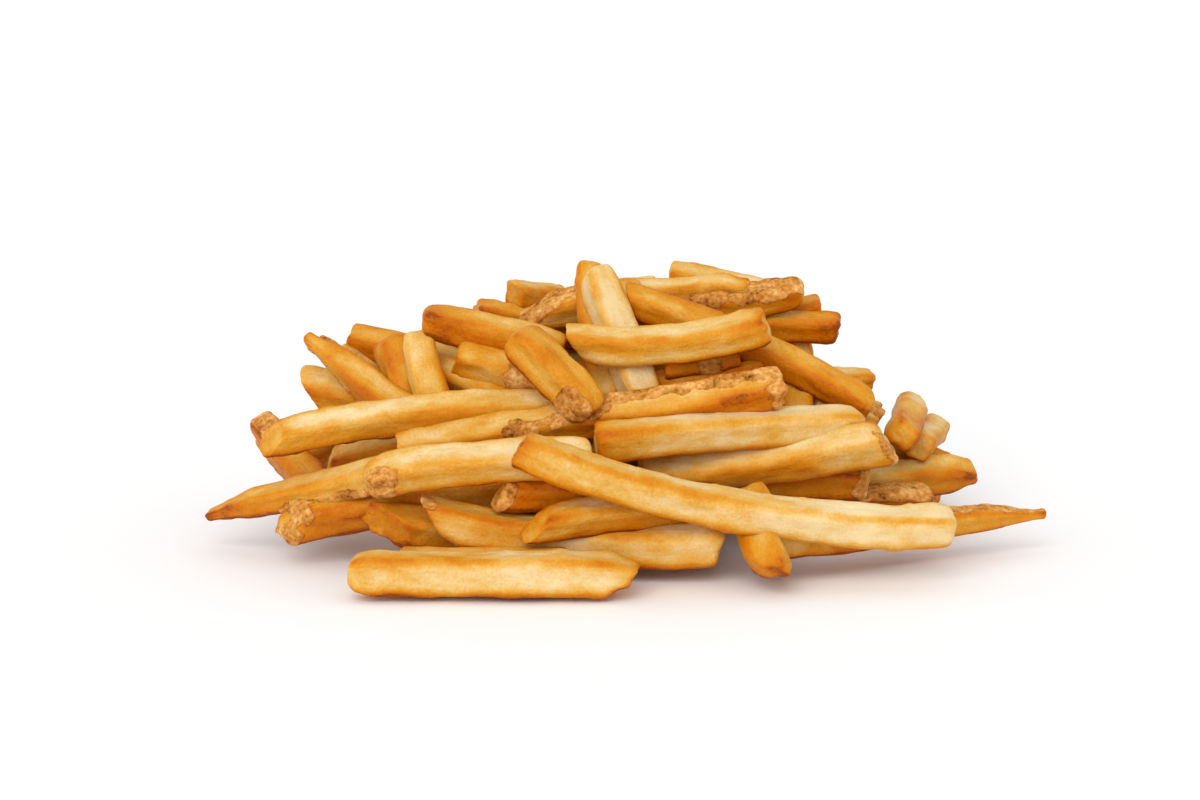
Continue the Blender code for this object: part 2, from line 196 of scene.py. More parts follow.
# The fries at the front and on top, from the nearest to the farthest.
NAMED: dict[str, Fry] = {
    "front_low": Fry((-53.5, -54, 5.2), (4.5, -54, 4.5), (7.6, 7.4), 0.4, 2, (0.3, 0.34), (Cut.ROUND, Cut.NOSE)),
    "front_under": Fry((-44, -47, 4), (-10, -46, 4), (7.4, 7.4), 0, 6, (0.45, 0.45)),
    "front_long": Fry(
        (-20, -47, 28.5), (65.5, -44, 12), (6.7, 7.2), -4.4, 12, (0.38, 0.14), (Cut.CHARRED, Cut.PALE), (Rind(Face.FRONT, 0, 0.004, 200),), 0, 1, 0.5
    ),
    "front_tip": Fry(
        (-21.5, -48, 12), (20, -33, 14), (5.9, 7.0), 0.8, 20, (0.42, 0.38), (Cut.LOW_TIP, Cut.SQUARE)
    ),
    "front_sag": Fry(
        (-42, -39, 14), (20.5, -41, 8), (7.2, 7.2), -3, 8, (0.42, 0.24), (Cut.TOP_TIP, Cut.RAGGED), (Rind(Face.TOP, 0, 0.05, 60),)
    ),
    "toe": Fry((25.5, -31, 14.5), (29.5, -58, 4.5), (8.4, 7.0), 0, 25, (0.42, 0.46), (Cut.SQUARE, Cut.BLUNT)),
    "right_spike": Fry(
        (27, -40, 7.5), (87, -16, 8), (5.8, 2.4), 0, 10, (0.42, 0.5), (Cut.SQUARE, Cut.POINT), (Rind(Face.TOP, 0.66, 1.0, 34),), 0, 3.0
    ),
    "stub_low": Fry((-52, -37, 10.5), (-30, -32, 8.5), (7.2, 7.2), 0, 30, (0.42, 0.5), (Cut.FACE, Cut.SQUARE)),
    "mid_dark": Fry(
        (-26, -40, 18.5), (4, -33, 15.5), (6.0, 6.2), 0, 20, (0.56, 0.66), (Cut.DOWN, Cut.SQUARE), (Rind(Face.FRONT, 0, 0.07, 100),)
    ),
    "left_thick": Fry(
        (-50.5, -41, 20.5), (-6, -41, 25), (6.6, 6.8), 1.8, 30, (0.3, 0.16), (Cut.ROUND, Cut.PALE), (Rind(Face.FRONT, 0, 0.12, 75),)
    ),
    "left_skin": Fry(
        (-72, -29, 8.5), (-20, -28, 16), (7.4, 7.2), 0.6, 22, (0.5, 0.5), (Cut.SLICE, Cut.SQUARE), (Rind(Face.FRONT, 0, 0.02, 120), Rind(Face.CREST, 0, 0.6, 26))
    ),
    "left_spear": Fry((-85, -14, 7), (-44, -36, 21.5), (4.0, 6.2), 0.4, 25, (0.48, 0.3), (Cut.POINT, Cut.SQUARE), (Rind(Face.LOW_EDGE, 0.40, 0.85, 30),)),
    "right_pale": Fry(
        (4, -26, 18), (55, -27, 25.5), (6.6, 7.5), -0.8, 35, (0.32, 0.28), (Cut.SQUARE, Cut.TIPPED), (Rind(Face.FRONT, 0.97, 1, 100),)
    ),
    "mid_amber": Fry((-5, -35, 27), (49, -21, 28), (7.0, 6.4), 0.8, 12, (0.36, 0.28), (Cut.CHARRED, Cut.ROUND)),
    "knuckle": Fry(
        (-21.5, -22, 46), (-6, -31, 32), (7.2, 7.2), 0.8, 10, (0.54, 0.4), (Cut.ROUND, Cut.ROUND), (Rind(Face.FRONT, 0.74, 1, 55),)
    ),
    "skin_back": Fry(
        (-45, -27, 24), (33, -26, 36.5), (5.6, 6.8), 0, 40, (0.32, 0.42), (Cut.SQUARE, Cut.RAGGED), (Rind(Face.EDGE, 0.28, 0.55, 30, 50), Rind(Face.CREST, 0.5, 1, 24), Rind(Face.EDGE, 0.96, 1, 100))
    ),
    "left_long": Fry((-73.5, -28, 26), (-4, -19, 31), (6.0, 6.4), 1.9, 30, (0.36, 0.28), (Cut.LOW_SLANT, Cut.SQUARE)),
    "under_dark": Fry((-40, -22, 11), (4, -31, 9), (6.0, 6.0), 0, 15, (0.84, 0.84)),
    "left_under": Fry(
        (-62.5, -12, 17), (-32, -22, 25.5), (5.6, 6.0), 0, 30, (0.42, 0.36), (Cut.LOW_SLANT, Cut.SQUARE)
    ),
    "left_cross": Fry(
        (-76, 8, 21), (-55, -21, 9), (6.0, 6.2), 0, 20, (0.6, 0.62), (Cut.RAGGED, Cut.RAGGED), (Rind(Face.TOP, 0, 0.35),)
    ),
    "right_dark": Fry(
        (15, -21, 17), (51, -19, 15), (6.2, 6.2), 0, 15, (0.62, 0.62), (Cut.SQUARE, Cut.RAGGED), (Rind(Face.FRONT, 0.92, 1, 90),)
    ),
    "right_rind": Fry(
        (27, -20, 12), (64, -14, 10), (5.6, 5.6), -0.6, 20, (0.74, 0.74), (Cut.SQUARE, Cut.RAGGED), (Rind(Face.TOP, 0.5, 1, 60),)
    ),
    "right_up": Fry((58, -16, 24), (61.5, 15, 23.5), (6.0, 5.8), 0, 30, (0.56, 0.34), (Cut.ROUND, Cut.SQUARE)),
    "right_up2": Fry((62, -6, 19.8), (68, 20, 17.8), (5.4, 5.2), 0, 25, (0.4, 0.26), (Cut.SQUARE, Cut.SQUARE)),
    "right_thick": Fry(
        (45, -10, 13), (74, -1, 13), (6.6, 5.6), 0.2, 25, (0.36, 0.44), (Cut.SQUARE, Cut.WEDGE)
    ),
    "right_prop": Fry((38, -15, 6), (64.5, 0, 6.5), (7.0, 6.6), 0, 20, (0.55, 0.55)),
    "right_rest": Fry((44, 8, 16.5), (69, 3, 12.5), (6.4, 6.4), 0, 30, (0.5, 0.5)),
    "top_cross": Fry(
        (-12, -19, 44.5), (29.5, -20, 48), (6.1, 6.4), -2.2, 22, (0.24, 0.32), (Cut.UP, Cut.CHARRED)
    ),
    "top_pillar": Fry((-5, -4, 56.5), (4.5, -19, 32.5), (6.6, 7.0), -0.5, 8, (0.28, 0.22), (Cut.ROUND, Cut.SQUARE)),
    "top_sweep": Fry((0, -5, 50.5), (51, -14, 29), (6.0, 5.8), 2.4, 25, (0.52, 0.52), (Cut.UP, Cut.ROUND)),
    "short_skin": Fry(
        (9, -17, 39), (24, -14, 41), (4.8, 4.8), 0, 10, (0.46, 0.46), rind=(Rind(Face.FRONT, 0.45, 0.8, 120),)
    ),
    "short_dark": Fry((6, -15, 34), (29, -13, 36.5), (5.0, 5.0), 0, 10, (0.54, 0.54)),
    "pillar_back": Fry((-6.5, 3, 56.5), (-3, -16, 31), (5.6, 6.0), 0, 8, (0.46, 0.4), (Cut.ROUND, Cut.SQUARE)),
    "plug_amber": Fry((36, -4, 37), (37, -15, 26), (6.6, 6.6), 0, 8, (0.55, 0.55)),
    "pale_chip": Fry((39.5, -10, 29.5), (52, -7, 24.5), (4.6, 4.6), 0, 15, (0.16, 0.16)),
    "rind_chip": Fry(
        (45, -3, 28), (54, -3, 25), (5.4, 5.2), 0, 15, (0.56, 0.56), (Cut.SQUARE, Cut.RAGGED), (Rind(Face.TOP, 0, 1, 90),)
    ),
    "left_stub": Fry(
        (-33.5, -9, 39), (-12, -18, 35), (6.0, 6.2), 0, 25, (0.34, 0.38), (Cut.CHARRED, Cut.RAGGED), (Rind(Face.EDGE, 0.50, 0.90, 60),)
    ),
    "left_amber": Fry(
        (-40.5, -7, 47), (-12, -8, 40), (6.4, 6.4), 0.2, 20, (0.58, 0.46), (Cut.ROUND, Cut.SQUARE)
    ),
    "top_skin": Fry(
        (-22, 1, 47), (5, 5, 49), (6.8, 6.6), -0.3, 25, (0.36, 0.32), (Cut.LOW_TIP, Cut.SQUARE), (Rind(Face.FRONT, 0, 0.05, 200), Rind(Face.TOP, 0, 0.22, 32))
    ),
    "left_pillar": Fry((-42, -5, 43), (-38, -19, 30), (5.8, 6.4), 0, 10, (0.26, 0.32), (Cut.PALE, Cut.SQUARE)),
    "skin_wedge": Fry(
        (-65, -3, 42.5), (-41, -15, 25.5), (3.8, 7.4), 0, 35, (0.48, 0.34), (Cut.POINT, Cut.SQUARE), (Rind(Face.LOW_EDGE, 0, 1, 34),)
    ),
    "left_curl": Fry((-48, -2, 42), (-43, -9, 29), (7.0, 7.0), 0, 10, (0.58, 0.5), (Cut.ROUND, Cut.SQUARE)),
    "left_slide": Fry((-40, -4, 36), (-16, -17, 30), (5.6, 5.6), 0, 30, (0.46, 0.46)),
    "left_slide2": Fry((-31, -3, 34), (-10, -14, 31), (5.6, 5.6), 0, 20, (0.5, 0.5)),
    "left_pale": Fry((-67, 1, 30.5), (-38, -4, 27), (7.4, 7.2), 0, 25, (0.3, 0.34), (Cut.UP, Cut.SQUARE)),
    "skin_wedge2": Fry(
        (-63, 6, 40), (-40, 3, 23), (3.2, 6.0), 0, 30, (0.62, 0.45), (Cut.POINT, Cut.SQUARE), (Rind(Face.TOP, 0, 1, 70),)
    ),
    "left_wall": Fry((-60, 9, 36), (-42, 9, 24), (5.8, 6.2), 0, 10, (0.42, 0.42)),
    "left_top": Fry((-57, 13, 38.5), (-28, 1, 34), (5.6, 5.8), 0.4, 25, (0.46, 0.44), (Cut.SQUARE, Cut.SQUARE)),
    "top_light": Fry((0, 12, 48.5), (26.5, 1, 52), (5.4, 4.2), 0, 25, (0.28, 0.46), (Cut.SQUARE, Cut.WEDGE)),
    "top_rind": Fry(
        (15, 3, 47), (38, 1, 51), (5.6, 5.4), 0, 25, (0.56, 0.5), (Cut.SQUARE, Cut.ROUND), (Rind(Face.TOP, 0, 1, 60),)
    ),
    "right_amber": Fry(
        (2, 5, 43.5), (46, 2, 43), (5.4, 4.8), 0, 25, (0.5, 0.5), (Cut.SQUARE, Cut.RAGGED)
    ),
    "right_light": Fry((20, 9, 42), (42, 8, 46), (5.6, 5.2), 0, 20, (0.36, 0.42), (Cut.SQUARE, Cut.SQUARE)),
    "right_nub": Fry((37, -2, 32), (53, 8, 31), (5.2, 4.2), 0, 15, (0.46, 0.46), (Cut.SQUARE, Cut.ROUND)),
    "right_post": Fry((36, 9, 42), (39, 1, 29), (5.2, 5.2), 0, 10, (0.42, 0.42)),
    "left_nub": Fry((-34, 8, 37), (-8, 18, 34), (4.6, 6.0), 0, 15, (0.56, 0.5), (Cut.ROUND, Cut.SQUARE)),
    "top_stub": Fry((-23.5, 6, 49.5), (-12, 20, 45.5), (5.4, 5.4), 0, 15, (0.42, 0.42), (Cut.UP, Cut.SQUARE)),
    "top_stub2": Fry((-30, 7, 45.5), (-4, 10, 41), (5.0, 5.4), 0, 15, (0.46, 0.46)),
    "top_stub3": Fry((-31, 9, 44), (0, 18, 37), (5.0, 5.4), 0, 15, (0.5, 0.5)),
    "top_end": Fry((-14, 20, 44.5), (8, 15, 49.5), (5.0, 4.6), 0, 15, (0.3, 0.3)),
    "top_back": Fry((10.5, 11.5, 52.5), (37.5, 13, 47), (5.2, 4.4), 0, 20, (0.22, 0.3)),
    "inner_left": Fry((-30, 4, 12), (-22, -34, 6), (7.0, 7.0), 0, 10, (0.6, 0.6)),
    "inner_right": Fry((20, 6, 14), (16, -35, 9), (6.6, 6.6), 0, 10, (0.6, 0.6)),
}


# ---------------------------------------------------------------- placing


def dome(x: Array, y: Array, size: tuple, centre: tuple) -> Array:
    """Height of a rounded dome: height x (1 - rho)^0.6, rho the squared distance in half lengths.

    Args:
        x: Places along the heap, in mm.
        y: Places across it.
        size: Half length, depth to the front, depth to the back, height.
        centre: Its middle on the table.

    Returns:
        The height at each place, 0 outside the dome.
    """
    half_length, front, back, height = size
    depth = np.where(y < centre[1], front, back)
    rho = ((x - centre[0]) / half_length) ** 2 + ((y - centre[1]) / depth) ** 2
    return height * np.clip(1.0 - rho, 0.0, None) ** 0.6


def centre_line(fry: Fry, share: Array) -> Array:
    """Points of the centre line at shares of its length: the straight line plus 4 sag s (1 - s) upward."""
    start = np.array(fry.start, float)
    end = np.array(fry.end, float)
    share = np.asarray(share, float)[:, None]
    sag = np.array([0.0, 0.0, 4.0 * fry.sag]) * share * (1.0 - share)
    return start + (end - start) * share + sag


def front_outline(fries: list[Fry]) -> tuple[Array, Array]:
    """For each millimetre of x, the lowest and highest that the fries reach as seen from the front."""
    low, high = np.full(201, 99.0), np.zeros(201)
    share = np.linspace(0.0, 1.0, 90)
    for fry in fries:
        line = centre_line(fry, share)
        side = np.interp(share, (0.0, 1.0), fry.side)
        column = np.clip(np.rint(line[:, 0] + 100).astype(int), 0, 200)
        seen = line[:, 2] + EYE_SLOPE * line[:, 1]
        np.minimum.at(low, column, seen - 0.5 * side)
        np.maximum.at(high, column, seen + 0.4 * side)
    return low, high


def shows(line: Array, side: float, outline: tuple[Array, Array]) -> bool:
    """Whether a fry along this centre line would show above or below that outline."""
    column = np.clip(np.rint(line[:, 0] + 100).astype(int), 0, 200)
    seen = line[:, 2] + EYE_SLOPE * line[:, 1]
    above = seen + 0.5 * side > outline[1][column] - 0.5
    below = seen - 0.5 * side < outline[0][column]
    return bool((above | below).any())


def nearest(line: Array, side: float, lines: Array, sides: Array) -> float:
    """The smallest distance to the fries laid before, as a share of the two half sides together."""
    gaps = np.linalg.norm(lines[:, :, None] - line[None, None], axis=3).min(axis=(1, 2))
    return float((gaps / (0.5 * (side + sides))).min())


def fits(line: Array, side: float, lines: Array, sides: Array) -> bool:
    """Whether a fry along this line is clear of those laid before it, but touches one or the mound."""
    close = nearest(line, side, lines, sides)
    in_mound = bool((line[:, 2] < dome(line[:, 0], line[:, 1], MOUND, MOUND_AT) - 0.5).any())
    return close > CLOSEST and (close < TOUCHING or in_mound)


def chord(rng: np.random.Generator, share: float, front: bool, late: float) -> Fry:
    """A fry laid along the dome of a share of the heap: a chord with both ends on its surface.

    Args:
        rng: Source of the draws.
        share: The layer's share of the heap's height.
        front: Whether it belongs to the front half.
        late: How far through the tries it comes, 0 to 1; later fries are shorter.

    Returns:
        The fry, without looks.
    """
    half_length, depth_front, depth_back, height = HEAP
    size = (half_length - 6.0 * (1.0 - share), depth_front, depth_back, height * share)
    side = rng.uniform(*SIDE_RANGE)
    half = 0.5 * rng.uniform(*LENGTH_RANGE) * (1.0 - 0.4 * late)
    heading = rng.uniform(0.0, math.pi)
    x = rng.uniform(-0.86, 0.86) * half_length
    y = rng.uniform(-0.62, 0.0) * depth_front if front else rng.uniform(-0.08, 0.94) * depth_back
    ends = []
    for way in (-1.0, 1.0):
        end_x = HEAP_AT[0] + x + way * half * math.cos(heading)
        end_y = HEAP_AT[1] + y + way * half * math.sin(heading)
        end_z = float(dome(end_x, end_y, size, HEAP_AT)) - 0.5 * side
        ends.append((end_x, end_y, max(end_z, 0.5 * side)))
    turn = rng.uniform(0.0, 45.0)
    taper = rng.uniform(0.82, 1.0)
    return Fry(ends[0], ends[1], (side, side * taper), 0.0, turn)


def inside_heap(fry: Fry, front: bool) -> bool:
    """Whether both ends stay within the heap's outline on the table, the front ones well inside it."""
    half_length, depth_front, depth_back, _ = HEAP
    for x, y, _ in (fry.start, fry.end):
        depth = depth_back if y > HEAP_AT[1] else depth_front * (0.62 if front else 0.4)
        reach = half_length * (0.8 if front else 0.96)
        if (x / reach) ** 2 + ((y - HEAP_AT[1]) / depth) ** 2 > 1.0:
            return False
    return abs(fry.start[2] - fry.end[2]) < 34.0


def filling_fries(rng: np.random.Generator, named: list[Fry]) -> list[Fry]:
    """Fries in and behind the named ones, layer by layer, each in the first free place that is found."""
    share = np.linspace(0.0, 1.0, 25)
    lines = np.array([centre_line(fry, share) for fry in named])
    sides = np.array([sum(fry.side) / 2 for fry in named])
    outline = front_outline(named)
    found: list[Fry] = []
    layers = [(deep, most, True) for deep, most in FRONT_LAYERS]
    layers += [(deep, most, False) for deep, most in BACK_LAYERS]
    for deep, most, front in layers:
        laid = 0
        for attempt in range(TRIES_PER_LAYER):
            fry = chord(rng, deep, front, attempt / TRIES_PER_LAYER)
            if laid == most:
                break
            if not inside_heap(fry, front):
                continue
            line = centre_line(fry, share)
            side = fry.side[0]
            if shows(line, side, outline) or not fits(line, side, lines, sides):
                continue
            lines = np.concatenate([lines, line[None]])
            sides = np.append(sides, side)
            found.append(fry)
            laid += 1
    return found


# ---------------------------------------------------------------- surfaces


def smooth(low: float, high: float, value: Array) -> Array:
    """A smooth step from 0 at low to 1 at high: 3 t^2 - 2 t^3 of the share t between them."""
    t = np.clip((value - low) / (high - low), 0.0, 1.0)
    return t * t * (3.0 - 2.0 * t)


def lattice_noise(points: Array, seed: int) -> Array:
    """Value noise from -1 to 1: hashed values at the corners of the unit cell round a point, blended by 3 t^2 - 2 t^3.

    Args:
        points: Places, with x, y and z along the last axis.
        seed: Which noise.

    Returns:
        One value a point.
    """
    cell = np.floor(points).astype(np.int64)
    t = points - cell
    t = t * t * (3.0 - 2.0 * t)
    total = np.zeros(points.shape[:-1])
    for corner in np.ndindex(2, 2, 2):
        key = (cell + corner) @ np.array([73856093, 19349663, 83492791]) + seed * 2654435761
        key = (key ^ (key >> 13)) * 1274126177 & 0x7FFFFFFF
        key = (key ^ (key >> 16)) * 1103515245 & 0x7FFFFFFF
        value = (key ^ (key >> 15)) / 0x3FFFFFFF - 1.0
        weight = np.prod(np.where(np.array(corner) == 1, t, 1.0 - t), axis=-1)
        total += weight * value
    return total


@dataclass
class Patch:
    """A closed surface: points in mm, four-cornered and three-cornered faces, and its two attributes."""

    points: Array
    quads: Array
    tris: Array
    crust: Array
    place: Array


@dataclass(frozen=True)
class FryForm:
    """Works out the surface of a fry.

    Attributes:
        step: Distance between two rings along the fry, in mm.
        around: Points round a ring.
        lump: Height of the slow swells along a fry, in mm.
        dent: Height of the dents of a few millimetres.
        wrinkle: Height of the fine wrinkles.
        hollow: How far the middle of a cut side sinks while frying, as a share of the half side.
        blister: Height of a blister.
        feather: Half the length over which a patch of rind ends, in mm.
        underside_shade: How much more amber a side that faces down is painted than the others, as painted shade.
    """

    step: float = 0.62
    around: int = 44
    lump: float = 0.42
    dent: float = 0.16
    wrinkle: float = 0.06
    hollow: float = 0.045
    blister: float = 0.22
    feather: float = 0.8
    underside_shade: float = 0.35

    def profile(self, length: float, side: tuple[float, float], cuts: tuple[End, End]) -> tuple[Array, Array]:
        """Distance along the fry and size of each ring: flat cut, quarter-round edge, body, and the same back.

        Args:
            length: Length of the fry.
            side: Its side at both ends.
            cuts: Its two ends.

        Returns:
            The distances in mm and the sizes as shares of the full section.
        """
        ends = []
        for end, wide in zip(cuts, side):
            rounding = end.soft * wide
            theta = np.linspace(0.0, 0.5 * math.pi, 5)
            edge = 1.0 - 2.0 * end.soft * (1.0 - np.sin(theta))
            flat = edge[0] * np.array([0.25, 0.5, 0.75, 0.9])
            away = np.concatenate([np.zeros(4), rounding * (1.0 - np.cos(theta))])
            ends.append((away, np.concatenate([flat, edge])))
        first, last = ends[0][0][-1], length - ends[1][0][-1]
        body = np.linspace(first, last, max(int((last - first) / self.step), 6))[1:-1]
        away = np.concatenate([ends[0][0], body, length - ends[1][0][::-1]])
        size = np.concatenate([ends[0][1], np.ones(len(body)), ends[1][1][::-1]])
        return away, size

    def section(self, crisp: float) -> tuple[Array, Array, Array]:
        """A rounded square of half side 1: radius (|cos|^n + |sin|^n)^(-1/n), sunk at the middle of each side.

        Args:
            crisp: The power n; the larger, the sharper the corners.

        Returns:
            The angle, and the two coordinates across the fry.
        """
        angle = np.linspace(0.0, 2.0 * math.pi, self.around, endpoint=False)
        cos, sin = np.cos(angle), np.sin(angle)
        radius = (np.abs(cos) ** crisp + np.abs(sin) ** crisp) ** (-1.0 / crisp)
        radius *= 1.0 - self.hollow * np.cos(2.0 * angle) ** 2
        return angle, radius * cos, radius * sin

    def build(self, fry: Fry, seed: int) -> Patch:
        """The surface of one fry: place(l, a) = line(l) + x(l, a) side + y(l, a) up + relief x normal.

        Args:
            fry: The fry.
            seed: Its own noise.

        Returns:
            Its surface and attributes.
        """
        rng = np.random.default_rng(seed)
        length = math.dist(fry.start, fry.end)
        cuts = (fry.cuts[0].value, fry.cuts[1].value)
        side_ends = (fry.side[0] + 2.0 * CRUST, fry.side[1] + 2.0 * CRUST)
        away, size = self.profile(length, side_ends, cuts)
        angle, x, y = self.section(rng.uniform(3.3, 4.8))
        share = away / length
        side = side_ends[0] + (side_ends[1] - side_ends[0]) * share**fry.taper
        wide, tall = 0.5 * side * size, 0.5 * side * size
        from_end = (away, length - away)
        for end, gone in zip(cuts, from_end):
            near = 1.0 - smooth(0.0, min(end.reach, 0.6 * length), gone)
            wide = wide * (1.0 - (1.0 - end.width) * near)
            tall = tall * (1.0 - (1.0 - end.height) * near)
        across, over = wide[:, None] * x, tall[:, None] * y
        along = away[:, None] + 0.0 * across
        for sign, end, gone in zip((-1.0, 1.0), cuts, from_end):
            tilt = end.tilt + rng.uniform(-0.16, 0.16)
            lean = end.lean + rng.uniform(-0.22, 0.22)
            half = 0.5 * side.max()
            back = (abs(end.tilt) + abs(end.lean)) * half
            shift = tilt * over + lean * across - back
            spread = 2.2 * (abs(tilt) + abs(lean)) * half + 1.3 * back + 1.0
            along = along + sign * shift * (1.0 - smooth(0.0, spread, gone))[:, None]
        offset = rng.uniform(-500.0, 500.0, 3)
        place = np.stack([along, across, over], axis=-1) + offset
        points = self.carry(fry, along / length, across, over, rng)
        normal = self.normals(points)
        blister = smooth(0.38, 0.66, lattice_noise(place / (3.6, 2.4, 2.4), seed + 1))
        rind = self.rind_mask(fry, angle, share[:, None] + 0.0 * across, place, seed)
        end_mask = 0.0
        for end, gone, half in zip(cuts, from_end, (slice(0, 9), slice(-9, None))):
            fade = (0.25 + 0.75 * end.brown) * (0.6 * np.exp(-gone / 0.9) + 0.4 * np.exp(-gone / 4.5))
            fade[half] *= 0.45 + 0.55 * smooth(0.55, 0.95, size[half])
            end_mask = end_mask + fade[:, None]
        crumple = sum(end.rough * np.exp(-gone / 2.4)[:, None] for end, gone in zip(cuts, from_end))
        relief = self.lump * lattice_noise(place / (8.0, 5.0, 5.0), seed + 2)
        relief = relief + self.dent * lattice_noise(place / (3.2, 2.2, 2.2), seed + 3)
        relief = relief + self.wrinkle * lattice_noise(place / (2.2, 0.9, 0.9), seed + 4)
        relief = relief + self.blister * blister
        relief = relief + crumple * lattice_noise(place / 1.3, seed + 5)
        pebbles = lattice_noise(place / (1.5, 1.1, 1.1), seed + 9) + 0.5 * lattice_noise(place / 0.7, seed + 10)
        relief = relief + rind * (0.18 + 0.20 * pebbles)
        points = points + (relief * size[:, None] ** 0.5)[..., None] * normal
        points[..., 2] = np.maximum(points[..., 2], 0.05)
        # Browner along the corners: partly the real browning of fried edges, partly painted shade for the darker rim
        # where each face turns away towards the fry's outline.
        ridge = 1.0 - np.abs(np.cos(2.0 * angle))
        corner = (0.45 * ridge + 0.55 * ridge**3)[None, :] * smooth(0.7, 1.0, size)[:, None]
        patchy = 0.5 + 0.5 * lattice_noise(place / (8.0, 3.6, 3.6), seed + 6)
        brown = corner * (0.22 + 0.90 * patchy) * (1.0 - 0.25 * sum(fry.tone))
        brown = brown + end_mask * (0.65 + 0.35 * patchy) * 0.8 + 0.10 * blister
        tone = np.clip(along / length, 0.0, 1.0)
        tone = fry.tone[0] + (fry.tone[1] - fry.tone[0]) * tone
        tone = tone + 0.18 * lattice_noise(place / (12.0, 5.0, 5.0), seed + 7)
        # Painted shade: the sides that face down are coloured more amber, as shade falls under each fry.
        tone = tone + self.underside_shade * fry.underside_shade * smooth(0.1, -0.9, normal[..., 2])
        crust = np.stack([brown, rind, tone, np.full(tone.shape, rng.uniform())], axis=-1)
        return self.close(points, np.clip(crust, 0.0, 1.0), place * MM)

    def carry(self, fry: Fry, share: Array, across: Array, over: Array, rng: np.random.Generator) -> Array:
        """Places section coordinates on the fry's bent line.

        Args:
            fry: The fry.
            share: Share of the length of each point.
            across: Coordinate towards the front side.
            over: Coordinate towards the top.
            rng: Source of its small bow and twist.

        Returns:
            The points in mm.
        """
        start, end = np.array(fry.start, float), np.array(fry.end, float)
        run = end - start
        line = start + share[..., None] * run
        rise = 4.0 * fry.sag * share * (1.0 - share)
        line[..., 2] += rise
        tangent = np.broadcast_to(run, line.shape).copy()
        tangent[..., 2] += 4.0 * fry.sag * (1.0 - 2.0 * share)
        tangent /= np.linalg.norm(tangent, axis=-1, keepdims=True)
        side_way = np.cross(tangent, (0.0, 0.0, 1.0))
        side_way /= np.linalg.norm(side_way, axis=-1, keepdims=True)
        if side_way.reshape(-1, 3)[0, 1] > 0.0:
            side_way = -side_way
        up_way = np.cross(side_way, tangent)
        if up_way.reshape(-1, 3)[0, 2] < 0.0:
            up_way = -up_way
        bow = fry.bow + rng.uniform(-0.5, 0.5)
        phase, waves = rng.uniform(0.0, 6.28), rng.uniform(0.8, 1.6)
        swing = bow * 4.0 * share * (1.0 - share) + 0.25 * np.sin(phase + waves * 6.28 * share)
        lift = 0.2 * np.sin(phase * 1.7 + waves * 5.0 * share)
        line = line + swing[..., None] * side_way + lift[..., None] * up_way
        turn = math.radians(fry.turn) + math.radians(rng.uniform(-13.0, 13.0)) * (share - 0.5)
        cos, sin = np.cos(turn)[..., None], np.sin(turn)[..., None]
        first = side_way * cos - up_way * sin
        second = side_way * sin + up_way * cos
        return line + across[..., None] * first + over[..., None] * second

    def normals(self, points: Array) -> Array:
        """Outward normals of the grid: the cross product of its two directions, turned away from the middle."""
        round_way = np.roll(points, -1, axis=1) - np.roll(points, 1, axis=1)
        long_way = np.gradient(points, axis=0)
        normal = np.cross(round_way, long_way)
        normal /= np.linalg.norm(normal, axis=-1, keepdims=True) + 1e-9
        middle = len(points) // 2
        outward = points[middle] - points[middle].mean(axis=0)
        return normal if (normal[middle] * outward).sum() > 0.0 else -normal

    def rind_mask(self, fry: Fry, angle: Array, share: Array, place: Array, seed: int) -> Array:
        """How far each point is rind: inside the patch's angles and shares, with an edge made uneven by noise."""
        mask = np.zeros(share.shape)
        fade = self.feather / math.dist(fry.start, fry.end)
        uneven = lattice_noise(place / (2.6, 2.0, 2.0), seed + 8)
        for patch in fry.rind:
            through = np.clip((share - patch.start) / (patch.end - patch.start), 0.0, 1.0)
            turn = np.degrees(angle)[None, :] - patch.face.value - patch.drift * through
            turn = np.abs((turn + 180.0) % 360.0 - 180.0) + 22.0 * uneven
            beside = 1.0 - smooth(patch.half_width - 7.0, patch.half_width + 7.0, turn)
            reach = share + 2.0 * fade * uneven
            opens = smooth(patch.start - fade, patch.start + fade, reach) if patch.start > 0.0 else 1.0
            closes = smooth(patch.end - fade, patch.end + fade, reach) if patch.end < 1.0 else 0.0
            inside = opens * (1.0 - closes)
            mask = np.maximum(mask, beside * inside)
        return mask

    def close(self, points: Array, crust: Array, place: Array) -> Patch:
        """Joins the rings into faces and closes both ends with a middle point."""
        rings, count = points.shape[:2]
        index = np.arange(rings * count).reshape(rings, count)
        after = np.roll(index, -1, axis=1)
        quads = np.stack([index[:-1], after[:-1], after[1:], index[1:]], axis=-1).reshape(-1, 4)
        first, last = rings * count, rings * count + 1
        low = np.stack([np.full(count, first), after[0], index[0]], axis=-1)
        high = np.stack([np.full(count, last), index[-1], after[-1]], axis=-1)
        flat = [np.concatenate([a.reshape(-1, a.shape[-1]), a[:1].mean(axis=1), a[-1:].mean(axis=1)]) for a in
                (points, crust, place)]
        return Patch(flat[0], quads, np.concatenate([low, high]), flat[1], flat[2])


# ---------------------------------------------------------------- meshes


def make_object(name: str, patches: list[Patch]) -> bpy.types.Object:
    """One object from closed surfaces, with their attributes, turned to face outward.

    Args:
        name: Name of the object.
        patches: Its surfaces, in mm.

    Returns:
        The object, at the origin.
    """
    starts = np.cumsum([0] + [len(p.points) for p in patches])
    points = np.concatenate([p.points for p in patches]) * MM
    quads = np.concatenate([p.quads + s for p, s in zip(patches, starts)])
    tris = np.concatenate([p.tris + s for p, s in zip(patches, starts)])
    mesh = bpy.data.meshes.new(name)
    mesh.from_pydata(points.tolist(), [], quads.tolist() + tris.tolist())
    crust = mesh.attributes.new("crust", "FLOAT_COLOR", "POINT")
    crust.data.foreach_set("color", np.concatenate([p.crust for p in patches]).astype(np.float32).ravel())
    place = mesh.attributes.new("place", "FLOAT_VECTOR", "POINT")
    place.data.foreach_set("vector", np.concatenate([p.place for p in patches]).astype(np.float32).ravel())
    mesh.shade_smooth()
    turn_outward(mesh)
    obj = bpy.data.objects.new(name, mesh)
    bpy.context.scene.collection.objects.link(obj)
    return obj


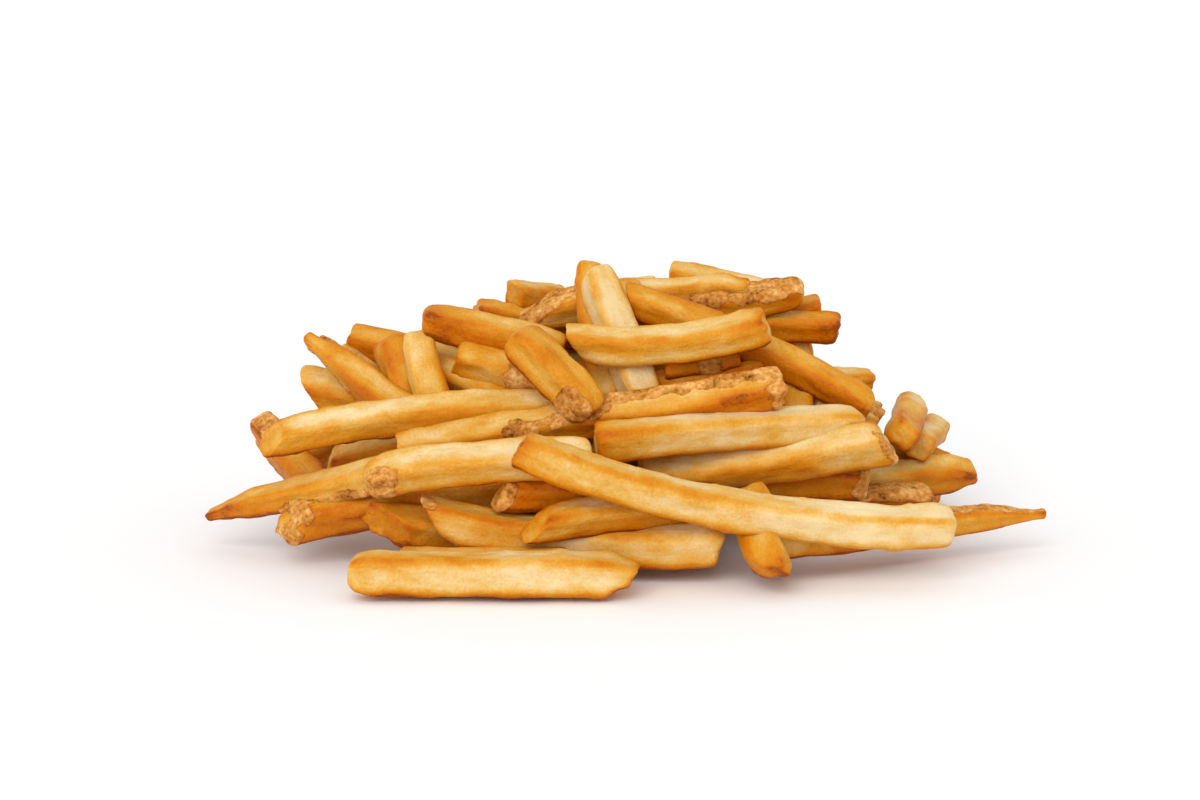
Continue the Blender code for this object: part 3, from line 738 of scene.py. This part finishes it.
def turn_outward(mesh: bpy.types.Mesh) -> None:
    """Flips the mesh if its volume, the sum of p . (q x r) / 6 over its triangles, is negative."""
    mesh.calc_loop_triangles()
    corners = np.zeros(len(mesh.loop_triangles) * 3, np.int32)
    mesh.loop_triangles.foreach_get("vertices", corners)
    points = np.zeros(len(mesh.vertices) * 3, np.float32)
    mesh.vertices.foreach_get("co", points)
    p, q, r = points.reshape(-1, 3)[corners.reshape(-1, 3)].transpose(1, 0, 2).astype(float)
    if (p * np.cross(q, r)).sum() < 0.0:
        mesh.flip_normals()


# ---------------------------------------------------------------- finishes


def linear(code: str) -> tuple[float, float, float, float]:
    """The linear colour of an sRGB hex value: ((c + 0.055) / 1.055)^2.4, or c / 12.92 when dark."""
    values = [int(code[k : k + 2], 16) / 255.0 for k in (1, 3, 5)]
    made = [c / 12.92 if c <= 0.04045 else ((c + 0.055) / 1.055) ** 2.4 for c in values]
    return made[0], made[1], made[2], 1.0


def add_node(tree: bpy.types.NodeTree, kind: str, inputs: dict | None = None, **settings) -> bpy.types.Node:
    """Adds a shader node, sets it up and links it.

    Args:
        tree: Where it goes.
        kind: Its type name.
        inputs: Values or sockets by input name or number.
        settings: The node's own properties.

    Returns:
        The node.
    """
    node = tree.nodes.new(kind)
    for key, value in settings.items():
        setattr(node, key, value)
    for key, value in (inputs or {}).items():
        if isinstance(value, bpy.types.NodeSocket):
            tree.links.new(value, node.inputs[key])
        else:
            node.inputs[key].default_value = value
    return node


@dataclass(frozen=True)
class FriedPotato:
    """Potato fried in oil: a dry thin crust, cream where it is least fried, through gold to brown at its edges, where
    the brown is partly painted shade.

    The eye sees a matt, slightly oily surface with a warm glow from light that passes through the soft
    inside, and fine pores and wrinkles.

    Attributes:
        done: Colours from least to most fried, each with its share.
        rind: Colours of the rind from its light pores to its dark spots.
        pore_mm: Size of the pores.
        grit_mm: Size of the grains of the rind.
        mottle_mm: Size of the patches of unlike colour.
    """

    done: tuple[tuple[float, str], ...] = (
        (0.02, "#EAD6A4"),
        (0.22, "#E6CA94"),
        (0.40, "#DEAF58"),
        (0.56, "#D69528"),
        (0.72, "#CE7E0A"),
        (0.88, "#C06600"),
        (1.0, "#904400"),
    )
    rind: tuple[tuple[float, str], ...] = (
        (0.0, "#EFC682"),
        (0.30, "#DA9D50"),
        (0.60, "#BA782C"),
        (0.95, "#5E2E02"),
    )
    pore_mm: float = 0.55
    grit_mm: float = 0.8
    mottle_mm: float = 3.0

    def ramp(self, tree: bpy.types.NodeTree, stops: tuple, factor: bpy.types.NodeSocket) -> bpy.types.NodeSocket:
        """A colour ramp with these stops."""
        node = add_node(tree, "ShaderNodeValToRGB", {0: factor})
        elements = node.color_ramp.elements
        elements[0].position, elements[0].color = stops[0][0], linear(stops[0][1])
        elements[1].position, elements[1].color = stops[-1][0], linear(stops[-1][1])
        for position, code in stops[1:-1]:
            elements.new(position).color = linear(code)
        return node.outputs[0]

    def material(self) -> bpy.types.Material:
        """Builds the shader."""
        made = bpy.data.materials.new("fried_potato_crust")
        made.use_nodes = True
        tree = made.node_tree
        shader = tree.nodes["Principled BSDF"]
        crust = add_node(tree, "ShaderNodeAttribute", attribute_name="crust")
        place = add_node(tree, "ShaderNodeAttribute", attribute_name="place").outputs["Vector"]
        parts = add_node(tree, "ShaderNodeSeparateColor", {0: crust.outputs["Color"]})
        brown, rind, tone = parts.outputs[0], parts.outputs[1], parts.outputs[2]
        mottle = self.noise(tree, place, self.mottle_mm, 3.0, (0.6, 1.0, 1.0))
        streak = self.noise(tree, place, 0.9, 2.0, (0.22, 1.0, 1.0))
        speck = self.noise(tree, place, self.pore_mm, 2.0, (1.0, 1.0, 1.0))
        grit = self.noise(tree, place, self.grit_mm, 3.0, (1.0, 1.0, 1.0))
        # The first channel holds the browning of ends and blisters and, along the corners, browning with painted shade;
        # the third holds the tone, with painted shade on the lower sides.
        fried = self.add(tree, tone, self.scaled(tree, brown, 0.62, 0.0))
        fried = self.add(tree, fried, self.scaled(tree, mottle, 0.44, -0.23))
        fried = self.add(tree, fried, self.scaled(tree, streak, 0.14, -0.07))
        fried = self.add(tree, fried, self.scaled(tree, speck, 0.24, -0.12))
        skin = self.add(tree, self.scaled(tree, mottle, 1.5, -0.39), self.scaled(tree, grit, 1.2, -0.50))
        mask = self.add(tree, rind, self.scaled(tree, grit, 1.1, -0.55))
        mask = self.add(tree, mask, self.scaled(tree, mottle, -0.7, 0.35))
        mask = add_node(tree, "ShaderNodeMapRange", {0: mask, 1: 0.36, 2: 0.80}).outputs[0]
        bare = add_node(tree, "ShaderNodeMath", {0: 1.0, 1: mask}, operation="SUBTRACT").outputs[0]
        border = add_node(tree, "ShaderNodeMath", {0: bare, 1: mask}, operation="MULTIPLY").outputs[0]
        skin = self.add(tree, skin, self.scaled(tree, border, 0.6, 0.0))
        fried = self.add(tree, fried, self.scaled(tree, border, 0.8, 0.0))
        colour = add_node(
            tree,
            "ShaderNodeMix",
            {0: mask, 6: self.ramp(tree, self.done, fried), 7: self.ramp(tree, self.rind, skin)},
            data_type="RGBA",
        ).outputs[2]
        tree.links.new(colour, shader.inputs["Base Color"])
        rough = add_node(tree, "ShaderNodeMapRange", {0: speck, 3: 0.34, 4: 0.60}).outputs[0]
        rough = self.add(tree, rough, self.scaled(tree, mask, 0.16, 0.0))
        tree.links.new(rough, shader.inputs["Roughness"])
        shader.inputs["IOR"].default_value = 1.45
        shader.inputs["Specular IOR Level"].default_value = 0.16
        shader.inputs["Subsurface Weight"].default_value = 0.45
        shader.inputs["Subsurface Radius"].default_value = (1.0, 0.42, 0.12)
        shader.inputs["Subsurface Scale"].default_value = 1.8 * MM
        height = self.add(tree, self.scaled(tree, speck, 0.6, 0.0), self.scaled(tree, streak, 0.6, 0.0))
        height = self.add(tree, height, self.scaled(tree, mottle, 0.8, 0.0))
        bump = add_node(tree, "ShaderNodeBump", {"Strength": 0.8, "Distance": 0.35 * MM, "Height": height})
        tree.links.new(bump.outputs[0], shader.inputs["Normal"])
        return made

    def noise(
        self, tree: bpy.types.NodeTree, place: bpy.types.NodeSocket, size_mm: float, detail: float, stretch: tuple
    ) -> bpy.types.NodeSocket:
        """Noise of a size in mm on the fry's own coordinates, stretched along it by the first share."""
        mapped = add_node(tree, "ShaderNodeMapping", {"Vector": place, "Scale": stretch}).outputs[0]
        node = add_node(tree, "ShaderNodeTexNoise", {"Vector": mapped, "Scale": 1.0 / (size_mm * MM), "Detail": detail})
        return node.outputs[0]

    def add(self, tree: bpy.types.NodeTree, first: bpy.types.NodeSocket, second: bpy.types.NodeSocket):
        """The sum of two values."""
        return add_node(tree, "ShaderNodeMath", {0: first, 1: second}, operation="ADD").outputs[0]

    def scaled(self, tree: bpy.types.NodeTree, value: bpy.types.NodeSocket, factor: float, plus: float):
        """The value times a factor plus a number."""
        return add_node(tree, "ShaderNodeMath", {0: value, 1: factor, 2: plus}, operation="MULTIPLY_ADD").outputs[0]


@dataclass(frozen=True)
class PlainFinish:
    """A matt finish of one colour, as on the floor of a studio or as the painted shade on the dark core deep in the
    heap.
    """

    name: str
    colour: str
    roughness: float = 0.8

    def material(self) -> bpy.types.Material:
        """Builds the shader."""
        made = bpy.data.materials.new(self.name)
        made.use_nodes = True
        shader = made.node_tree.nodes["Principled BSDF"]
        shader.inputs["Base Color"].default_value = linear(self.colour)
        shader.inputs["Roughness"].default_value = self.roughness
        return made


# ---------------------------------------------------------------- the heap


@dataclass(frozen=True)
class Heap:
    """All the fries of the portion, grouped by how they are fried and where they lie."""

    fine: FryForm = FryForm()
    coarse: FryForm = FryForm(step=1.1, around=28)
    bed: FryForm = FryForm(step=2.0, around=16)
    bed_count: int = 90

    def groups(self, named: dict[str, Fry]) -> dict[str, list[tuple[str, Fry]]]:
        """Sorts the named fries into those with rind, pale, golden and amber ones."""
        found: dict[str, list[tuple[str, Fry]]] = {}
        for name, fry in named.items():
            if fry.rind:
                kind = "rind_fries"
            elif sum(fry.tone) < 0.66:
                kind = "pale_fries"
            elif sum(fry.tone) < 1.0:
                kind = "golden_fries"
            else:
                kind = "amber_fries"
            found.setdefault(kind, []).append((name, fry))
        return found

    def dressed(self, fry: Fry, rng: np.random.Generator) -> Fry:
        """A filling fry with a tone, ends and sometimes a strip of rind."""
        tone = float(np.clip(rng.normal(0.42, 0.15), 0.12, 0.85))
        cuts = (rng.choice(list(Cut)[:9]), rng.choice(list(Cut)[:9]))
        rind = ()
        if rng.uniform() < 0.22:
            start = rng.uniform(0.0, 0.5)
            rind = (Rind(Face.TOP, start, start + rng.uniform(0.3, 0.6)),)
        tones = (tone, tone + rng.uniform(-0.1, 0.1))
        return Fry(fry.start, fry.end, fry.side, fry.sag, fry.turn, tones, cuts, rind)

    def bed_fries(self, rng: np.random.Generator) -> list[Fry]:
        """Short fries that lie on the core, each a chord of the mound's dome sunk by half its side."""
        found = []
        for k in range(self.bed_count):
            angle = k * 2.39996
            reach = math.sqrt((k + 0.5) / self.bed_count) * 0.92
            heading = angle + rng.normal(1.57, 0.8)
            half = rng.uniform(11.0, 17.0)
            side = rng.uniform(5.6, 7.4)
            depth = MOUND[1] if math.sin(angle) < 0.0 else MOUND[2]
            x = MOUND_AT[0] + MOUND[0] * reach * math.cos(angle)
            y = MOUND_AT[1] + depth * reach * math.sin(angle)
            ends = []
            for way in (-1.0, 1.0):
                end_x, end_y = x + way * half * math.cos(heading), y + way * half * math.sin(heading)
                end_z = float(dome(end_x, end_y, MOUND, MOUND_AT)) - 0.35 * side
                ends.append((end_x, end_y, max(end_z, 0.5 * side)))
            found.append(self.dressed(Fry(ends[0], ends[1], (side, side), 0.0, rng.uniform(0.0, 45.0)), rng))
        return found

    def core(self) -> Patch:
        """The core: the mound's dome at a smaller size, as rings of reach sin(v) round its middle."""
        rings, count = 12, 40
        size = tuple(CORE_SHARE * v for v in MOUND)
        reach = np.sin(0.5 * math.pi * np.arange(1, rings + 1) / rings)[:, None]
        angle = np.linspace(0.0, 2.0 * math.pi, count, endpoint=False)[None, :]
        x = MOUND_AT[0] + size[0] * reach * np.cos(angle)
        y = MOUND_AT[1] + np.where(np.sin(angle) < 0.0, size[1], size[2]) * reach * np.sin(angle)
        z = dome(x, y, size, MOUND_AT) + 0.2
        points = np.stack([x, y, z], axis=-1)
        base = points[-1:] * (0.9, 0.9, 0.0) + (0.1 * MOUND_AT[0], 0.1 * MOUND_AT[1], 0.1)
        points = np.concatenate([points, base])
        crust = np.zeros(points.shape[:2] + (4,))
        crust[..., 2] = 0.85
        return FryForm().close(points, crust, points * MM)

    def build(self) -> list[bpy.types.Object]:
        """Builds every piece of the heap and ties it to the frame."""
        potato = FriedPotato().material()
        # Painted shade: the core is dark brown so that the gaps between the fries read as the shaded depths of the
        # heap.
        deep = PlainFinish("dark_core_painted_shade", "#7A3E0E").material()
        made = []
        seed = 100
        for kind, rows in self.groups(NAMED).items():
            patches = []
            for _, fry in rows:
                seed += 1
                patches.append(self.fine.build(fry, seed))
            made.append(self.piece(kind, patches, potato))
        filling = filling_fries(np.random.default_rng(SEED), list(NAMED.values()))
        rng = np.random.default_rng(SEED + 1)
        rows = [self.dressed(fry, rng) for fry in filling]
        made.append(self.piece("filling_fries", [self.coarse.build(f, 300 + k) for k, f in enumerate(rows)], potato))
        rows = self.bed_fries(rng)
        made.append(self.piece("bed_fries", [self.bed.build(f, 500 + k) for k, f in enumerate(rows)], potato))
        made.append(self.piece("heap_core", [self.core()], deep))
        return made

    def piece(self, name: str, patches: list[Patch], material: bpy.types.Material) -> bpy.types.Object:
        """Makes one piece, gives it its finish, and lets it stand for the heap's solid."""
        obj = make_object(name, patches)
        obj.data.materials.append(material)
        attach(obj, "root")
        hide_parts(HEAP_NODE)
        LOG.info("%s: %d surfaces, %d faces", name, len(patches), len(obj.data.polygons))
        return obj


# ---------------------------------------------------------------- the studio


@dataclass(frozen=True)
class Studio:
    """A plain pale floor, soft light and the camera.

    Attributes:
        floor_half: Half the floor's side, in metres.
        floor_colour: Its paint.
        lens_mm: Focal length on a 36 mm wide sensor.
        distance: Camera to target, in metres.
        look_down: How far the camera looks down, in degrees.
        target_mm: The point that it looks at.
    """

    floor_half: float = 4.0
    floor_colour: str = "#FAFAFA"
    lens_mm: float = 113.76
    distance: float = 0.790
    look_down: float = 12.0
    target_mm: tuple[float, float, float] = (-4.17, 0.0, 28.33)

    def floor(self) -> None:
        """A flat square of matt paper on which the heap lies."""
        mesh = bpy.data.meshes.new("floor")
        half = self.floor_half
        mesh.from_pydata([(-half, -half, 0), (half, -half, 0), (half, half, 0), (-half, half, 0)], [], [(0, 1, 2, 3)])
        obj = bpy.data.objects.new("floor", mesh)
        bpy.context.scene.collection.objects.link(obj)
        mesh.materials.append(PlainFinish("matt_paper", self.floor_colour, 0.9).material())

    def camera(self) -> None:
        """A long lens that looks slightly down at the heap."""
        down = math.radians(self.look_down)
        sight = Vector((0.0, math.cos(down), -math.sin(down)))
        data = bpy.data.cameras.new("camera")
        data.lens = self.lens_mm
        data.sensor_width = 36.0
        data.clip_start = 0.01
        data.clip_end = 20.0
        obj = bpy.data.objects.new("camera", data)
        obj.location = Vector(self.target_mm) * MM - sight * self.distance
        obj.rotation_euler = sight.to_track_quat("-Z", "Y").to_euler()
        bpy.context.scene.collection.objects.link(obj)
        bpy.context.scene.camera = obj

    def light(self, name: str, place: tuple, spread: float, strength: float) -> None:
        """A broad, far, even light that shines on the heap from this side."""
        data = bpy.data.lights.new(name, "SUN")
        data.angle = spread
        data.energy = strength
        obj = bpy.data.objects.new(name, data)
        obj.location = place
        obj.rotation_euler = (Vector((0.0, 0.0, 0.02)) - Vector(place)).to_track_quat("-Z", "Y").to_euler()
        bpy.context.scene.collection.objects.link(obj)

    def build(self) -> None:
        """Builds the floor, the lights, the sky and the camera."""
        self.floor()
        self.camera()
        self.light("key", (-0.3, -1.0, 0.75), 0.8, 1.55)
        scene = bpy.context.scene
        world = bpy.data.worlds.new("studio")
        world.use_nodes = True
        world.node_tree.nodes["Background"].inputs[0].default_value = (1.0, 1.0, 1.0, 1.0)
        world.node_tree.nodes["Background"].inputs[1].default_value = 0.80
        scene.world = world
        scene.view_settings.view_transform = "Standard"


def main() -> None:
    """Builds the heap and the studio."""
    logging.basicConfig(level=logging.INFO, format="%(name)s: %(message)s")
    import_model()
    Heap().build()
    Studio().build()
    bpy.context.view_layer.update()


if __name__ == "__main__":
    main()
